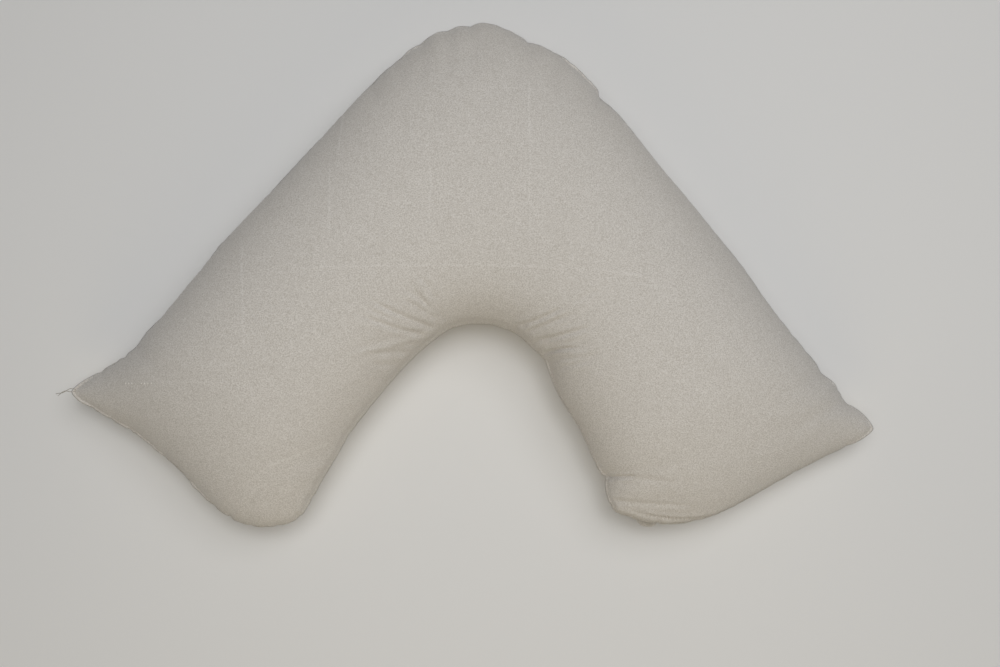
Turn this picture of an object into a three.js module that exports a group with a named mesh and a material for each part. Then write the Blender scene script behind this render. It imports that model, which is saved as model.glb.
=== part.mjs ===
// A V shaped pillow: one filled cotton cushion, lying on its back with its face up.
// Millimetres, +Z up out of the face, +Y towards the point of the V, +X to the right of the face.
// The origin is on the resting surface, under the middle of the cushion's box.
import * as THREE from 'three';

// Driving dimensions
const span = 930;                // tip to tip, along X
const reach = 588;               // feet to apex, along Y
const armWidth = 246;            // seam to seam across an arm, as filled
const seamHeight = 78;           // sewn edge above the resting surface, mid arm
const faceCrown = 84;            // face above the seam, mid arm
const backDepth = 104;           // back below the seam, before the surface flattens it
const restBlend = 12;            // height over which the back turns into its flat resting face
const crownPower = 1.4;          // how the section turns in towards the seam
const firmness = 0.9;            // how level the filling keeps the wide part at the apex
const shoulderReach = 5;         // sections over which the shape of an end seam fades out
const puckerReach = 8;           // power by which a pucker of the seam fades across the panel
const furrowGain = 6;            // scales a furrow so that its deepest place has the stated depth
const foldFade = 0.42;           // share of a fold's length over which it fades from its middle
const foldOnset = 3;             // how soon folds deepen away from the seam

// Grid of one panel
const stepsPerSection = 4;
const stepsAcross = 22;

// Membrane relaxation
const relaxRounds = 420;
const overRelaxation = 1.88;
const halvings = 24;             // steps that find a place on a profile curve

// Reads a short table: the names of its columns, then one row of values for each entry.
function table(columns, rows) {
  return rows.map((row) => Object.fromEntries(columns.map((name, k) => [name, row[k]])));
}

// Sections from the left end to the right end: the seam's place on the outer and the inner edge,
// how far it drops below seamHeight there, and the share of faceCrown.
const sections = table(
  ['outerX', 'outerY', 'outerDrop', 'innerX', 'innerY', 'innerDrop', 'crown'],
  [
    [-466, -135, 25, -193, -277, 12, 0.96],
    [-438, -115, 20, -180, -257, 10, 0.97],
    [-406, -96, 13, -170, -238, 7, 0.98],
    [-372, -64, 7, -156, -215, 4, 1.00],
    [-327, -12, 2, -141, -188, 2, 1.00],
    [-281, 44, 0, -117, -157, 0, 1.00],
    [-221, 108, 0, -88, -122, 0, 1.00],
    [-179, 155, 0, -61, -94, -1, 0.98],
    [-138, 202, 0, -42, -78, -2, 0.95],
    [-98, 242, 0, -26, -67, -2, 0.92],
    [-51, 279, 1, -14, -63, -2, 0.90],
    [-18, 291, 2, -2, -61, -2, 0.90],
    [16, 295, 3, 9, -61, -2, 0.90],
    [54, 280, 2, 21, -62, -2, 0.90],
    [101, 256, 1, 34, -66, -2, 0.91],
    [143, 215, 0, 49, -72, -2, 0.93],
    [176, 178, 0, 65, -86, -1, 0.96],
    [213, 130, 0, 83, -103, 0, 0.99],
    [257, 76, 0, 95, -134, 0, 1.00],
    [302, 17, 0, 111, -162, 0, 1.00],
    [342, -38, 2, 126, -188, 2, 1.00],
    [379, -84, 6, 138, -213, 4, 1.00],
    [412, -122, 12, 148, -229, 7, 0.98],
    [434, -148, 18, 152, -247, 9, 0.97],
    [452, -161, 22, 155, -262, 11, 0.96],
    [464, -178, 25, 159, -276, 12, 0.96],
  ],
);

// End seams: how far each bulges past the straight line from its inner to its outer corner.
// "along" is the share of that line, "out" is in millimetres.
const leftEnd = table(['along', 'out'], [
  [0.00, 0], [0.02, 12], [0.06, 24], [0.12, 35], [0.19, 41], [0.27, 41], [0.36, 34],
  [0.46, 24], [0.58, 14], [0.70, 7], [0.82, 6], [0.93, 5], [1.00, 0],
]);
const rightEnd = table(['along', 'out'], [
  [0.00, 0], [0.03, 8], [0.08, 16], [0.14, 25], [0.20, 33], [0.27, 38], [0.34, 39],
  [0.41, 37], [0.48, 32], [0.55, 27], [0.64, 21], [0.73, 16], [0.84, 11], [0.94, 8], [1.00, 0],
]);

// Puckers of the sewn edge: "station" counts sections from the left end, "depth" is how far the
// seam draws in, "halfWidth" is in sections and "furrow" is how deep the faces follow it.
const outerPuckers = table(['station', 'depth', 'halfWidth', 'furrow'], [
  [2.45, 2, 0.22, 3],
  [8.55, 2, 0.18, 3],
  [9.35, 2, 0.18, 4],
  [9.80, 3, 0.16, 4],
  [10.65, 3, 0.22, 4],
  [11.40, 3, 0.22, 4],
  [13.20, 3, 0.20, 5],
  [14.25, 1, 0.18, 3],
  [15.30, 5, 0.16, 6],
  [21.80, 3, 0.20, 3],
  [22.85, 3, 0.20, 4],
]);
const innerPuckers = table(['station', 'depth', 'halfWidth', 'furrow'], [
  [17.00, 3, 0.35, 4],
  [22.30, 2, 0.30, 4],
]);

// Folds of the face: a trough from one point to another, in millimetres.
const folds = table(['fromX', 'fromY', 'toX', 'toY', 'depth', 'halfWidth'], [
  [-39, -63, -78, -21, 2.0, 4],
  [-48, -67, -91, -46, 3.0, 5],
  [-58, -75, -111, -64, 3.0, 5],
  [-74, -82, -114, -89, 2.0, 5],
  [-88, -101, -121, -101, 1.5, 5],
  [62, -63, 103, -42, 2.0, 4],
  [74, -70, 129, -56, 2.5, 5],
  [84, -82, 146, -67, 2.5, 5],
  [90, -93, 140, -89, 3.5, 5],
  [111, -105, 157, -97, 2.0, 5],
  [150, -237, 230, -239, 3.0, 7],
  [158, -260, 254, -260, 3.5, 6],
  [172, -270, 258, -280, 3.0, 6],
  [-215, -224, -144, -193, 3.0, 9],
]);

const columnCount = (sections.length - 1) * stepsPerSection;
const halfArm = armWidth / 2;

// A smooth curve through one edge's section points, read by section number.
function edgeCurve(side) {
  const points = sections.map((row) => new THREE.Vector3(
    row[`${side}X`],
    row[`${side}Y`],
    seamHeight - row[`${side}Drop`],
  ));
  return new THREE.CatmullRomCurve3(points, false, 'centripetal');
}

// A smooth reading of one column of a table at a place between its rows.
function profileCurve(rows, place, value) {
  const points = rows.map((row) => new THREE.Vector2(row[place], row[value]));
  return new THREE.SplineCurve(points);
}

// The height of a profile over a place, found by halving along the curve.
function readProfile(curve, place) {
  let low = 0;
  let high = 1;
  for (let turn = 0; turn < halvings; turn += 1) {
    const middle = (low + high) / 2;
    if (curve.getPoint(middle).x < place) {
      low = middle;
    } else {
      high = middle;
    }
  }
  return curve.getPoint((low + high) / 2).y;
}

function bell(distance, halfWidth) {
  return Math.exp(-((distance / halfWidth) ** 2));
}

// Share of the way across a panel: close steps at the two seams, wide ones between.
function shareAcross(row) {
  return (1 - Math.cos((Math.PI * row) / stepsAcross)) / 2;
}

function shareCrown(station) {
  const low = Math.min(Math.floor(station), sections.length - 2);
  return THREE.MathUtils.lerp(sections[low].crown, sections[low + 1].crown, station - low);
}

// Sum of the puckers of one edge at a station, in millimetres, read from one column.
function puckerSum(puckers, station, column) {
  return puckers.reduce((sum, row) => sum + row[column] * bell(station - row.station, row.halfWidth), 0);
}

const outerEdge = edgeCurve('outer');
const innerEdge = edgeCurve('inner');
const ends = [
  { profile: profileCurve(leftEnd, 'along', 'out'), station: 0, turn: 1 },
  { profile: profileCurve(rightEnd, 'along', 'out'), station: sections.length - 1, turn: -1 },
].map((end) => {
  const inner = innerEdge.getPoint(end.station / (sections.length - 1));
  const outer = outerEdge.getPoint(end.station / (sections.length - 1));
  const chord = outer.clone().sub(inner).setZ(0).normalize();
  return { ...end, outward: new THREE.Vector3(-chord.y * end.turn, chord.x * end.turn, 0) };
});

// A point of the flat plan, on the level of the seam that runs round it.
function planPoint(column, row) {
  const station = column / stepsPerSection;
  const share = shareAcross(row);
  const inner = innerEdge.getPoint(column / columnCount);
  const outer = outerEdge.getPoint(column / columnCount);
  const across = outer.clone().sub(inner).setZ(0).normalize();
  const point = inner.clone().lerp(outer, share);
  for (const end of ends) {
    const away = Math.abs(station - end.station) / shoulderReach;
    if (away < 1) {
      point.addScaledVector(end.outward, readProfile(end.profile, share) * (1 - away) ** 2);
    }
  }
  point.addScaledVector(across, -puckerSum(outerPuckers, station, 'depth') * share ** puckerReach);
  point.addScaledVector(across, puckerSum(innerPuckers, station, 'depth') * (1 - share) ** puckerReach);
  return point;
}

const plan = [];
for (let column = 0; column <= columnCount; column += 1) {
  for (let row = 0; row <= stepsAcross; row += 1) {
    plan.push(planPoint(column, row));
  }
}

function gridIndex(column, row) {
  return column * (stepsAcross + 1) + row;
}

function onSeam(column, row) {
  return column === 0 || column === columnCount || row === 0 || row === stepsAcross;
}

// Two triangles for each cell of the grid, face up. A cell's diagonal points to the nearest
// corner of the panel, so that no triangle has all its corners on the seam.
const cells = [];
for (let column = 0; column < columnCount; column += 1) {
  for (let row = 0; row < stepsAcross; row += 1) {
    const a = gridIndex(column, row);
    const b = gridIndex(column + 1, row);
    const c = gridIndex(column + 1, row + 1);
    const d = gridIndex(column, row + 1);
    if ((column < columnCount / 2) === (row < stepsAcross / 2)) {
      cells.push([a, b, c], [a, c, d]);
    } else {
      cells.push([a, b, d], [b, c, d]);
    }
  }
}

// The swell of a membrane that is held at the seam and pressed evenly from below.
function relaxMembrane() {
  const links = plan.map(() => new Map());
  const load = new Float64Array(plan.length);
  const addLink = (a, b, weight) => {
    links[a].set(b, (links[a].get(b) ?? 0) + weight);
    links[b].set(a, (links[b].get(a) ?? 0) + weight);
  };
  for (const cell of cells) {
    for (let k = 0; k < 3; k += 1) {
      const [tip, left, right] = [cell[k], cell[(k + 1) % 3], cell[(k + 2) % 3]];
      const toLeft = plan[left].clone().sub(plan[tip]).setZ(0);
      const toRight = plan[right].clone().sub(plan[tip]).setZ(0);
      const twiceArea = toLeft.x * toRight.y - toLeft.y * toRight.x;
      addLink(left, right, toLeft.dot(toRight) / twiceArea / 2);
      load[tip] += twiceArea / 6;
    }
  }
  const swell = new Float64Array(plan.length);
  for (let round = 0; round < relaxRounds; round += 1) {
    for (let column = 1; column < columnCount; column += 1) {
      for (let row = 1; row < stepsAcross; row += 1) {
        const here = gridIndex(column, row);
        let pull = load[here];
        let weights = 0;
        for (const [other, weight] of links[here]) {
          pull += weight * swell[other];
          weights += weight;
        }
        swell[here] += overRelaxation * (pull / weights - swell[here]);
      }
    }
  }
  return swell;
}

// Share of the crown at each grid point: 0 on the seam, about 1 along the middle of an arm.
function crownShares() {
  return Array.from(relaxMembrane(), (swell) => {
    const fullness = (Math.sqrt(2 * swell) / halfArm) ** crownPower;
    return (1 - Math.exp(-firmness * fullness)) / (1 - Math.exp(-firmness));
  });
}

// How far the folds press the face in at a point.
function foldDepth(point) {
  return folds.reduce((sum, fold) => {
    const run = new THREE.Vector2(fold.toX - fold.fromX, fold.toY - fold.fromY);
    const offset = new THREE.Vector2(point.x - fold.fromX, point.y - fold.fromY);
    const along = offset.dot(run) / run.lengthSq();
    const beside = Math.abs(offset.cross(run)) / run.length();
    const fade = bell(along - 0.5, foldFade);
    return sum + fold.depth * fade * bell(beside, fold.halfWidth);
  }, 0);
}

// The back's height: curved up to the seam, level where the cushion lies on it.
function restOn(height) {
  if (height > restBlend) {
    return height;
  }
  return height < -restBlend ? 0 : (height + restBlend) ** 2 / (4 * restBlend);
}

// Both panels on one seam, as a closed body.
function pillowGeometry() {
  const shares = crownShares();
  const positions = [];
  const faceIds = new Array(plan.length);
  const backIds = new Array(plan.length);
  const addPoint = (x, y, z) => positions.push(x, y, z) / 3 - 1;
  for (let column = 0; column <= columnCount; column += 1) {
    const station = column / stepsPerSection;
    const furrows = [
      puckerSum(innerPuckers, station, 'furrow'),
      puckerSum(outerPuckers, station, 'furrow'),
    ];
    for (let row = 0; row <= stepsAcross; row += 1) {
      const here = gridIndex(column, row);
      const { x, y, z } = plan[here];
      const share = shares[here];
      if (onSeam(column, row)) {
        faceIds[here] = addPoint(x, y, z);
        backIds[here] = faceIds[here];
      } else {
        const nearSeam = share * (1 - share) ** 2 * furrowGain;
        const furrow = nearSeam * (row < stepsAcross / 2 ? furrows[0] : furrows[1]);
        const fold = foldDepth(plan[here]) * Math.min(1, foldOnset * share);
        const crown = faceCrown * shareCrown(station) * share;
        faceIds[here] = addPoint(x, y, z + crown - furrow - fold);
        backIds[here] = addPoint(x, y, restOn(z - backDepth * share + furrow));
      }
    }
  }
  const index = cells.flatMap(([a, b, c]) => [
    faceIds[a], faceIds[b], faceIds[c],
    backIds[a], backIds[c], backIds[b],
  ]);
  const geometry = new THREE.BufferGeometry();
  geometry.setAttribute('position', new THREE.Float32BufferAttribute(positions, 3));
  geometry.setIndex(index);
  geometry.computeBoundingBox();
  const size = geometry.boundingBox.getSize(new THREE.Vector3());
  const middle = geometry.boundingBox.getCenter(new THREE.Vector3());
  geometry.translate(-middle.x, -middle.y, 0);
  geometry.scale(span / size.x, reach / size.y, 1);
  geometry.computeVertexNormals();
  return geometry;
}

const cotton = new THREE.MeshStandardMaterial({ color: 0xcfc8bc, roughness: 0.92, metalness: 0 });

const pillow = new THREE.Mesh(pillowGeometry(), cotton);
pillow.name = 'pillow';

const part = new THREE.Group();
part.add(pillow);

export default part;
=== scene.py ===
"""The looks of a v shaped pillow: its cotton cover, sewn edge, two thread tails and a plain studio."""

from __future__ import annotations

import logging
import math
from dataclasses import dataclass, field
from enum import Enum
from typing import Any, NamedTuple, Sequence

import bmesh
import bpy
import numpy as np
from mathutils import Matrix, Vector
from mathutils.bvhtree import BVHTree
from mathutils.geometry import delaunay_2d_cdt
from mathutils.kdtree import KDTree

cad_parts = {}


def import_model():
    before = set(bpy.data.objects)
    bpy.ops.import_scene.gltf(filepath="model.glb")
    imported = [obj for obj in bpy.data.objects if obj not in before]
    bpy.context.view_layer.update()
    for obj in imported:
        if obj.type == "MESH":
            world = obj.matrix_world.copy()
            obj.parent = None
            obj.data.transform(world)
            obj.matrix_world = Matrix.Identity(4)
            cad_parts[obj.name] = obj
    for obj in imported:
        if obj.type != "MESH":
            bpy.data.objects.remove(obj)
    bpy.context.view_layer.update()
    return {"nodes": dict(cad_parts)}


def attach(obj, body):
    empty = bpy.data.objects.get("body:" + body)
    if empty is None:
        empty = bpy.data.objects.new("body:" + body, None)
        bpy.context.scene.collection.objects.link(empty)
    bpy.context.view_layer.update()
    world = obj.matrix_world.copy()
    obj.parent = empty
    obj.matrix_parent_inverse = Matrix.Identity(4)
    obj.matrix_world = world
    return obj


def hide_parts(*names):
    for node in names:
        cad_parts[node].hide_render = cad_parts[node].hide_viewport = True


LOG = logging.getLogger("pillow")
MM = 0.001
NODE = "pillow"
BODY = "root"
UV_NAME = "cloth"
EDGE_NAME = "sewn_edge"
PHOTO_WIDTH_PX = 1000
SENSOR_MM = 36.0
TINY = 1e-12
MERGE_REACH = 1e-5
SAME_SPOT = 1e-7


class Side(Enum):
    """The two panels of the cover."""

    FACE = 1
    BACK = -1


class Pucker(NamedTuple):
    """A place where the sewing draws the edge in, in millimetres."""

    x: float
    y: float
    depth: float
    half_width: float


class Crease(NamedTuple):
    """A trough of the face, or a ridge where the depth is below zero, in millimetres.

    It deepens over the share onset of its length and dies away towards its far end.
    """

    from_x: float
    from_y: float
    to_x: float
    to_y: float
    bend: float
    depth: float
    half_width: float
    onset: float


class Press(NamedTuple):
    """A straight packing crease in the cloth, in millimetres, with a faint relief and a painted highlight
    along it.
    """

    from_x: float
    from_y: float
    to_x: float
    to_y: float
    strength: float


class Lamp(NamedTuple):
    """A large round light that looks at the origin, with its place in metres and its power in watts."""

    name: str
    place: tuple[float, float, float]
    size: float
    power: float
    colour: tuple[float, float, float]


EDGE_PUCKERS = (
    Pucker(-429, -114, 1.7, 3.5),
    Pucker(-409, -104, 0.8, 3.5),
    Pucker(-401, -98, 2.3, 3.5),
    Pucker(-389, -87, 0.4, 4.0),
    Pucker(-358, -55, 0.5, 5.0),
    Pucker(-341, -32, 0.6, 4.0),
    Pucker(-312, 2, 0.7, 4.0),
    Pucker(-175, 157, 0.6, 4.0),
    Pucker(-149, 187, 0.6, 4.0),
    Pucker(-94, 243, 0.6, 4.0),
    Pucker(-77, 253, 0.7, 4.0),
    Pucker(-59, 265, 0.9, 4.0),
    Pucker(-29, 281, 0.9, 3.5),
    Pucker(-2, 287, 1.4, 3.0),
    Pucker(37, 285, 0.7, 3.5),
    Pucker(64, 270, 1.4, 3.5),
    Pucker(94, 257, 0.6, 4.0),
    Pucker(111, 243, 0.8, 4.0),
    Pucker(131, 224, 1.0, 4.0),
    Pucker(145, 205, 1.8, 4.0),
    Pucker(354, -56, 0.5, 3.5),
    Pucker(367, -72, 0.8, 3.5),
    Pucker(384, -92, 0.7, 3.5),
    Pucker(402, -116, 0.6, 4.0),
    Pucker(421, -137, 1.4, 3.5),
    Pucker(433, -153, 0.5, 4.0),
    Pucker(434, -199, 1.0, 4.0),
    Pucker(371, -230, 0.9, 4.0),
    Pucker(351, -240, 0.6, 4.0),
    Pucker(305, -267, 0.5, 4.0),
    Pucker(256, -285, 0.8, 4.0),
    Pucker(211, -288, 1.6, 2.4),
    Pucker(153, -233, 2.6, 3.0),
    Pucker(143, -218, 1.0, 3.5),
    Pucker(133, -198, 0.7, 4.0),
    Pucker(-141, -189, 0.6, 4.0),
    Pucker(-158, -218, 0.7, 4.0),
    Pucker(-181, -259, 1.4, 3.5),
    Pucker(-197, -281, 1.0, 3.5),
    Pucker(-221, -291, 1.4, 3.5),
    Pucker(-254, -290, 1.1, 3.0),
    Pucker(-278, -281, 1.9, 3.0),
    Pucker(-294, -268, 0.8, 3.0),
    Pucker(-314, -248, 0.8, 5.0),
    Pucker(-353, -211, 0.7, 3.0),
    Pucker(-397, -183, 1.5, 3.0),
    Pucker(-418, -167, 1.1, 2.8),
    Pucker(-441, -157, 1.0, 3.5),
)

# Longer stretches where the sewn edge lies in from the solid's, or out where the depth is below zero.
EDGE_SHIFTS = (
    Pucker(-456, -129, -2.8, 15),
    Pucker(-445, -122, -0.8, 8),
    Pucker(-456, -146, -2.6, 12),
    Pucker(-373, -68, -1.3, 14),
    Pucker(-290, 28, -1.4, 16),
    Pucker(-205, 120, -1.5, 55),
    Pucker(-118, 219, -0.9, 6),
    Pucker(-108, 228, -1.0, 18),
    Pucker(-72, 260, -2.2, 22),
    Pucker(-30, 283, -1.5, 25),
    Pucker(15, 293, -1.2, 25),
    Pucker(50, 281, -1.0, 20),
    Pucker(108, 249, -1.2, 12),
    Pucker(122, 237, -2.9, 20),
    Pucker(136, 222, -2.2, 10),
    Pucker(144, 212, -1.2, 6),
    Pucker(150, 203, -1.2, 10),
    Pucker(312, 3, -1.4, 35),
    Pucker(416, -130, -1.9, 10),
    Pucker(461, -180, -1.4, 12),
    Pucker(318, -262, 0.9, 28),
    Pucker(285, -280, 1.9, 28),
    Pucker(250, -289, 1.9, 28),
    Pucker(190, -287, 1.0, 14),
    Pucker(178, -283, 2.4, 10),
    Pucker(165, -276, 4.6, 14),
    Pucker(153, -251, -0.9, 9),
    Pucker(148, -228, -2.2, 14),
    Pucker(119, -177, 1.4, 14),
    Pucker(88, -110, -2.8, 14),
    Pucker(60, -83, 1.7, 40),
    Pucker(8, -63, 1.7, 40),
    Pucker(-46, -84, 1.6, 40),
    Pucker(-82, -118, 1.6, 40),
    Pucker(-115, -160, 1.6, 40),
    Pucker(-146, -200, 0.9, 40),
    Pucker(-170, -243, 1.7, 40),
    Pucker(-196, -284, 1.4, 40),
    Pucker(-240, -293, 0.8, 30),
    Pucker(-303, -260, -1.2, 8),
    Pucker(-317, -247, -2.6, 12),
    Pucker(-366, -203, -1.8, 25),
    Pucker(-402, -177, -1.6, 25),
    Pucker(-434, -160, -0.8, 15),
)

GATHERS = (
    Crease(-30, -62, -42, -37, 0, 0.4, 3.0, 0.05),
    Crease(-40, -54, -78, -25, -1.5, 0.8, 2.9, 0.1),
    Crease(-38, -60, -79, -39, -1, 0.8, 2.7, 0.05),
    Crease(-38, -40, -58, -12, -1, 0.7, 2.4, 0.05),
    Crease(-49, -47, -70, -19, -1, 0.8, 2.4, 0.05),
    Crease(-42, -69, -112, -40, 3, 1.4, 2.6, 0.05),
    Crease(-60, -69, -120, -48, 2, 0.7, 2.4, 0.05),
    Crease(-53, -77, -126, -55, 3, 1.2, 2.8, 0.05),
    Crease(-46, -75, -140, -104, 1, -1.0, 2.8, 0.05),
    Crease(-67, -95, -108, -100, 0, 0.8, 2.4, 0.05),
    Crease(-83, -111, -112, -112, -1, 0.6, 2.6, 0.05),
    Crease(47, -67, 104, -47, -4, 1.7, 2.4, 0.05),
    Crease(61, -73, 116, -55, -1, 1.3, 2.6, 0.05),
    Crease(68, -84, 136, -69, -2, 1.8, 2.6, 0.05),
    Crease(80, -96, 120, -93, 1, 1.9, 1.8, 0.05),
    Crease(88, -103, 148, -97, -4, 0.9, 2.6, 0.3),
    Crease(100, -112, 142, -104, -1, 0.9, 2.6, 0.05),
    Crease(108, -46, 143, -28, -1, 0.5, 2.8, 0.3),
    Crease(151, -237, 186, -234, 1, 1.9, 1.9, 0.05),
    Crease(172, -236, 228, -242, 2, 0.6, 3.0, 0.3),
    Crease(155, -261, 262, -267, -1, 0.9, 2.4, 0.05),
    Crease(174, -271, 310, -268, -13, 2.6, 2.0, 0.3),
)

# The packing creases: a faint relief and a painted highlight along each.
PRESSES = (
    Press(-195, -10, -76, -6, 0.9),
    Press(-80, -6, 4, -4, 1.2),
    Press(0, -4, 75, -7, 1.2),
    Press(70, -7, 190, -16, 1.0),
    Press(-253, 27, -243, -97, 1.5),
    Press(-156, 115, -152, 22, 1.3),
    Press(-44, 112, -44, 20, 1.1),
    Press(65, 206, 64, 11, 1.1),
    Press(-46, 193, 99, 196, 0.8),
    Press(161, -97, 272, -150, 0.6),
    Press(-146, 180, -147, 116, 2.0),
    Press(-154, -195, -228, -224, 1.8),
    Press(-352, -129, -255, -132, 0.7),
)

# The faint puckers between the others: least and most, in millimetres and for the gaps in metres.
FAINT_DEPTHS = (0.15, 0.5)
FAINT_WIDTHS = (2.5, 4.5)
FAINT_GAPS = (0.011, 0.032)

LAMPS = (
    Lamp("top", (0.0, 0.0, 2.6), 1.6, 23.5, (0.985, 0.99, 1.0)),
    Lamp("key", (0.75, 0.5, 2.3), 1.6, 14.0, (0.985, 0.99, 1.0)),
    Lamp("warm", (0.0, -1.8, 0.9), 1.4, 5.2, (1.0, 0.83, 0.5)),
)


def bell(distance: Any, half_width: Any) -> Any:
    """Returns a smooth hump of height 1 that falls to 0.37 at half_width."""
    return np.exp(-((distance / half_width) ** 2))


def smooth_step(low: float, high: float, values: np.ndarray) -> np.ndarray:
    """Returns 0 below low, 1 above high and a smooth ramp between."""
    share = np.clip((values - low) / (high - low), 0.0, 1.0)
    return share * share * (3.0 - 2.0 * share)


def deselect_all() -> None:
    """Leaves nothing selected, so that an operator acts on the new piece alone."""
    for thing in bpy.context.selected_objects:
        thing.select_set(False)


def make_active(piece: bpy.types.Object) -> None:
    """Selects one object and makes it the active one.

    Args:
        piece: The object.
    """
    deselect_all()
    piece.select_set(True)
    bpy.context.view_layer.objects.active = piece


def join_pieces(
    pieces: Sequence[bpy.types.Object], name: str, material: bpy.types.Material
) -> bpy.types.Object:
    """Joins pieces into one smooth piece of one material.

    Args:
        pieces: What to join.
        name: The whole piece's name.
        material: Its material.

    Returns:
        The whole piece.
    """
    make_active(pieces[0])
    for piece in pieces:
        piece.select_set(True)
    bpy.ops.object.join()
    bpy.ops.object.shade_smooth()
    whole = bpy.context.view_layer.objects.active
    whole.name = name
    whole.data.materials.clear()
    whole.data.materials.append(material)
    return whole


def mesh_places(mesh: bpy.types.Mesh) -> np.ndarray:
    """Reads where a mesh's vertices are.

    Args:
        mesh: The mesh.

    Returns:
        One row of x, y, z for each vertex.
    """
    flat = np.empty(len(mesh.vertices) * 3)
    mesh.vertices.foreach_get("co", flat)
    return flat.reshape(-1, 3)


def new_piece(name: str, places: np.ndarray, faces: Sequence[Sequence[int]]) -> bpy.types.Object:
    """Makes a mesh object at the origin.

    Args:
        name: The piece's name.
        places: One row of x, y, z in metres for each vertex.
        faces: Vertex numbers of each face.

    Returns:
        The linked object.
    """
    mesh = bpy.data.meshes.new(name)
    mesh.from_pydata(places.tolist(), [], [tuple(int(one) for one in face) for face in faces])
    mesh.update()
    piece = bpy.data.objects.new(name, mesh)
    bpy.context.scene.collection.objects.link(piece)
    return piece


def surface_normals(places: np.ndarray, triangles: np.ndarray) -> np.ndarray:
    """Works out the outward direction at each vertex of a triangle mesh.

    Args:
        places: One row of x, y, z for each vertex.
        triangles: The vertex numbers of each triangle.

    Returns:
        One row of length 1 for each vertex.
    """
    first, second, third = (places[triangles[:, corner]] for corner in range(3))
    across = np.cross(second - first, third - first)
    normals = np.zeros_like(places)
    for corner in range(3):
        np.add.at(normals, triangles[:, corner], across)
    return normals / np.maximum(np.linalg.norm(normals, axis=1), TINY)[:, None]


def smoothed(
    places: np.ndarray,
    triangles: np.ndarray,
    share: np.ndarray,
    rounds: int,
    steps: Sequence[float] = (0.5, -0.51),
) -> np.ndarray:
    """Evens out a mesh, or any rows that belong to its vertices.

    Args:
        places: One row for each vertex.
        triangles: The vertex numbers of each triangle.
        share: How much each vertex may move, from 0 to 1.
        rounds: How often the steps are taken.
        steps: How far each row goes to its neighbours' middle. A step back keeps the mesh from shrinking.

    Returns:
        The new rows.
    """
    pairs = np.vstack([triangles[:, (0, 1)], triangles[:, (1, 2)], triangles[:, (2, 0)]])
    pairs = np.unique(np.sort(pairs, axis=1), axis=0)
    degree = np.bincount(pairs.ravel(), minlength=len(places)).astype(float)
    places = places.copy()
    for _ in range(rounds):
        for step in steps:
            total = np.zeros_like(places)
            np.add.at(total, pairs[:, 0], places[pairs[:, 1]])
            np.add.at(total, pairs[:, 1], places[pairs[:, 0]])
            middle = total / np.maximum(degree, 1.0)[:, None]
            places += (middle - places) * (step * share)[:, None]
    return places


class Value:
    """A shader socket that does arithmetic by adding Math nodes."""

    def __init__(self, tree: bpy.types.NodeTree, socket: bpy.types.NodeSocket) -> None:
        """Keeps the tree and the output socket."""
        self.tree = tree
        self.socket = socket

    def _math(self, operation: str, *given: Any) -> Value:
        """Adds one Math node on numbers and Values, and returns its result."""
        node = add_node(self.tree, "ShaderNodeMath", {"operation": operation}, given)
        return Value(self.tree, node.outputs[0])

    def __add__(self, other: Any) -> Value:
        """Returns self + other."""
        return self._math("ADD", self, other)

    def __radd__(self, other: Any) -> Value:
        """Returns other + self."""
        return self._math("ADD", other, self)

    def __sub__(self, other: Any) -> Value:
        """Returns self - other."""
        return self._math("SUBTRACT", self, other)

    def __rsub__(self, other: Any) -> Value:
        """Returns other - self."""
        return self._math("SUBTRACT", other, self)

    def __mul__(self, other: Any) -> Value:
        """Returns self * other."""
        return self._math("MULTIPLY", self, other)

    def __rmul__(self, other: Any) -> Value:
        """Returns other * self."""
        return self._math("MULTIPLY", other, self)

    def sine(self) -> Value:
        """Returns the sine of self, in radians."""
        return self._math("SINE", self)

    def size(self) -> Value:
        """Returns self without its sign."""
        return self._math("ABSOLUTE", self)

    def ramp(self, low: float, high: float) -> Value:
        """Makes a smooth step.

        Args:
            low: Where it begins.
            high: Where it ends.

        Returns:
            0 up to low, 1 from high on and a smooth step between.
        """
        settings = {"interpolation_type": "SMOOTHSTEP"}
        node = add_node(self.tree, "ShaderNodeMapRange", settings, [self, low, high])
        return Value(self.tree, node.outputs[0])


def add_node(
    tree: bpy.types.NodeTree, kind: str, settings: dict[str, Any] | None = None, inputs: Any = ()
) -> bpy.types.Node:
    """Adds any node, with its settings set before its inputs.

    Args:
        tree: The tree that gets the node.
        kind: The node's type.
        settings: The node's own options.
        inputs: Numbers, colours or links for its sockets, in order or by name or number.

    Returns:
        The node.
    """
    node = tree.nodes.new(kind)
    for name, setting in (settings or {}).items():
        setattr(node, name, setting)
    pairs = inputs.items() if isinstance(inputs, dict) else enumerate(inputs)
    for key, given in pairs:
        if isinstance(given, Value):
            tree.links.new(given.socket, node.inputs[key])
        elif isinstance(given, bpy.types.NodeSocket):
            tree.links.new(given, node.inputs[key])
        else:
            node.inputs[key].default_value = given
    return node


def new_material(name: str, settings: dict[str, Any]) -> tuple[bpy.types.Material, bpy.types.Node]:
    """Makes a material with one Principled shader.

    Args:
        name: The material's name.
        settings: Fixed values for the shader's sockets, by name.

    Returns:
        The material and its shader.
    """
    material = bpy.data.materials.new(name)
    material.use_nodes = True
    tree = material.node_tree
    tree.nodes.clear()
    shader = add_node(tree, "ShaderNodeBsdfPrincipled", {}, settings)
    add_node(tree, "ShaderNodeOutputMaterial", {}, {"Surface": shader.outputs[0]})
    return material, shader


def noise(tree: bpy.types.NodeTree, place: bpy.types.NodeSocket, scale: float, detail: float) -> Value:
    """Returns a noise of a given scale and detail over a place."""
    inputs = {"Vector": place, "Scale": scale, "Detail": detail}
    return Value(tree, add_node(tree, "ShaderNodeTexNoise", {}, inputs).outputs[0])


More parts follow.
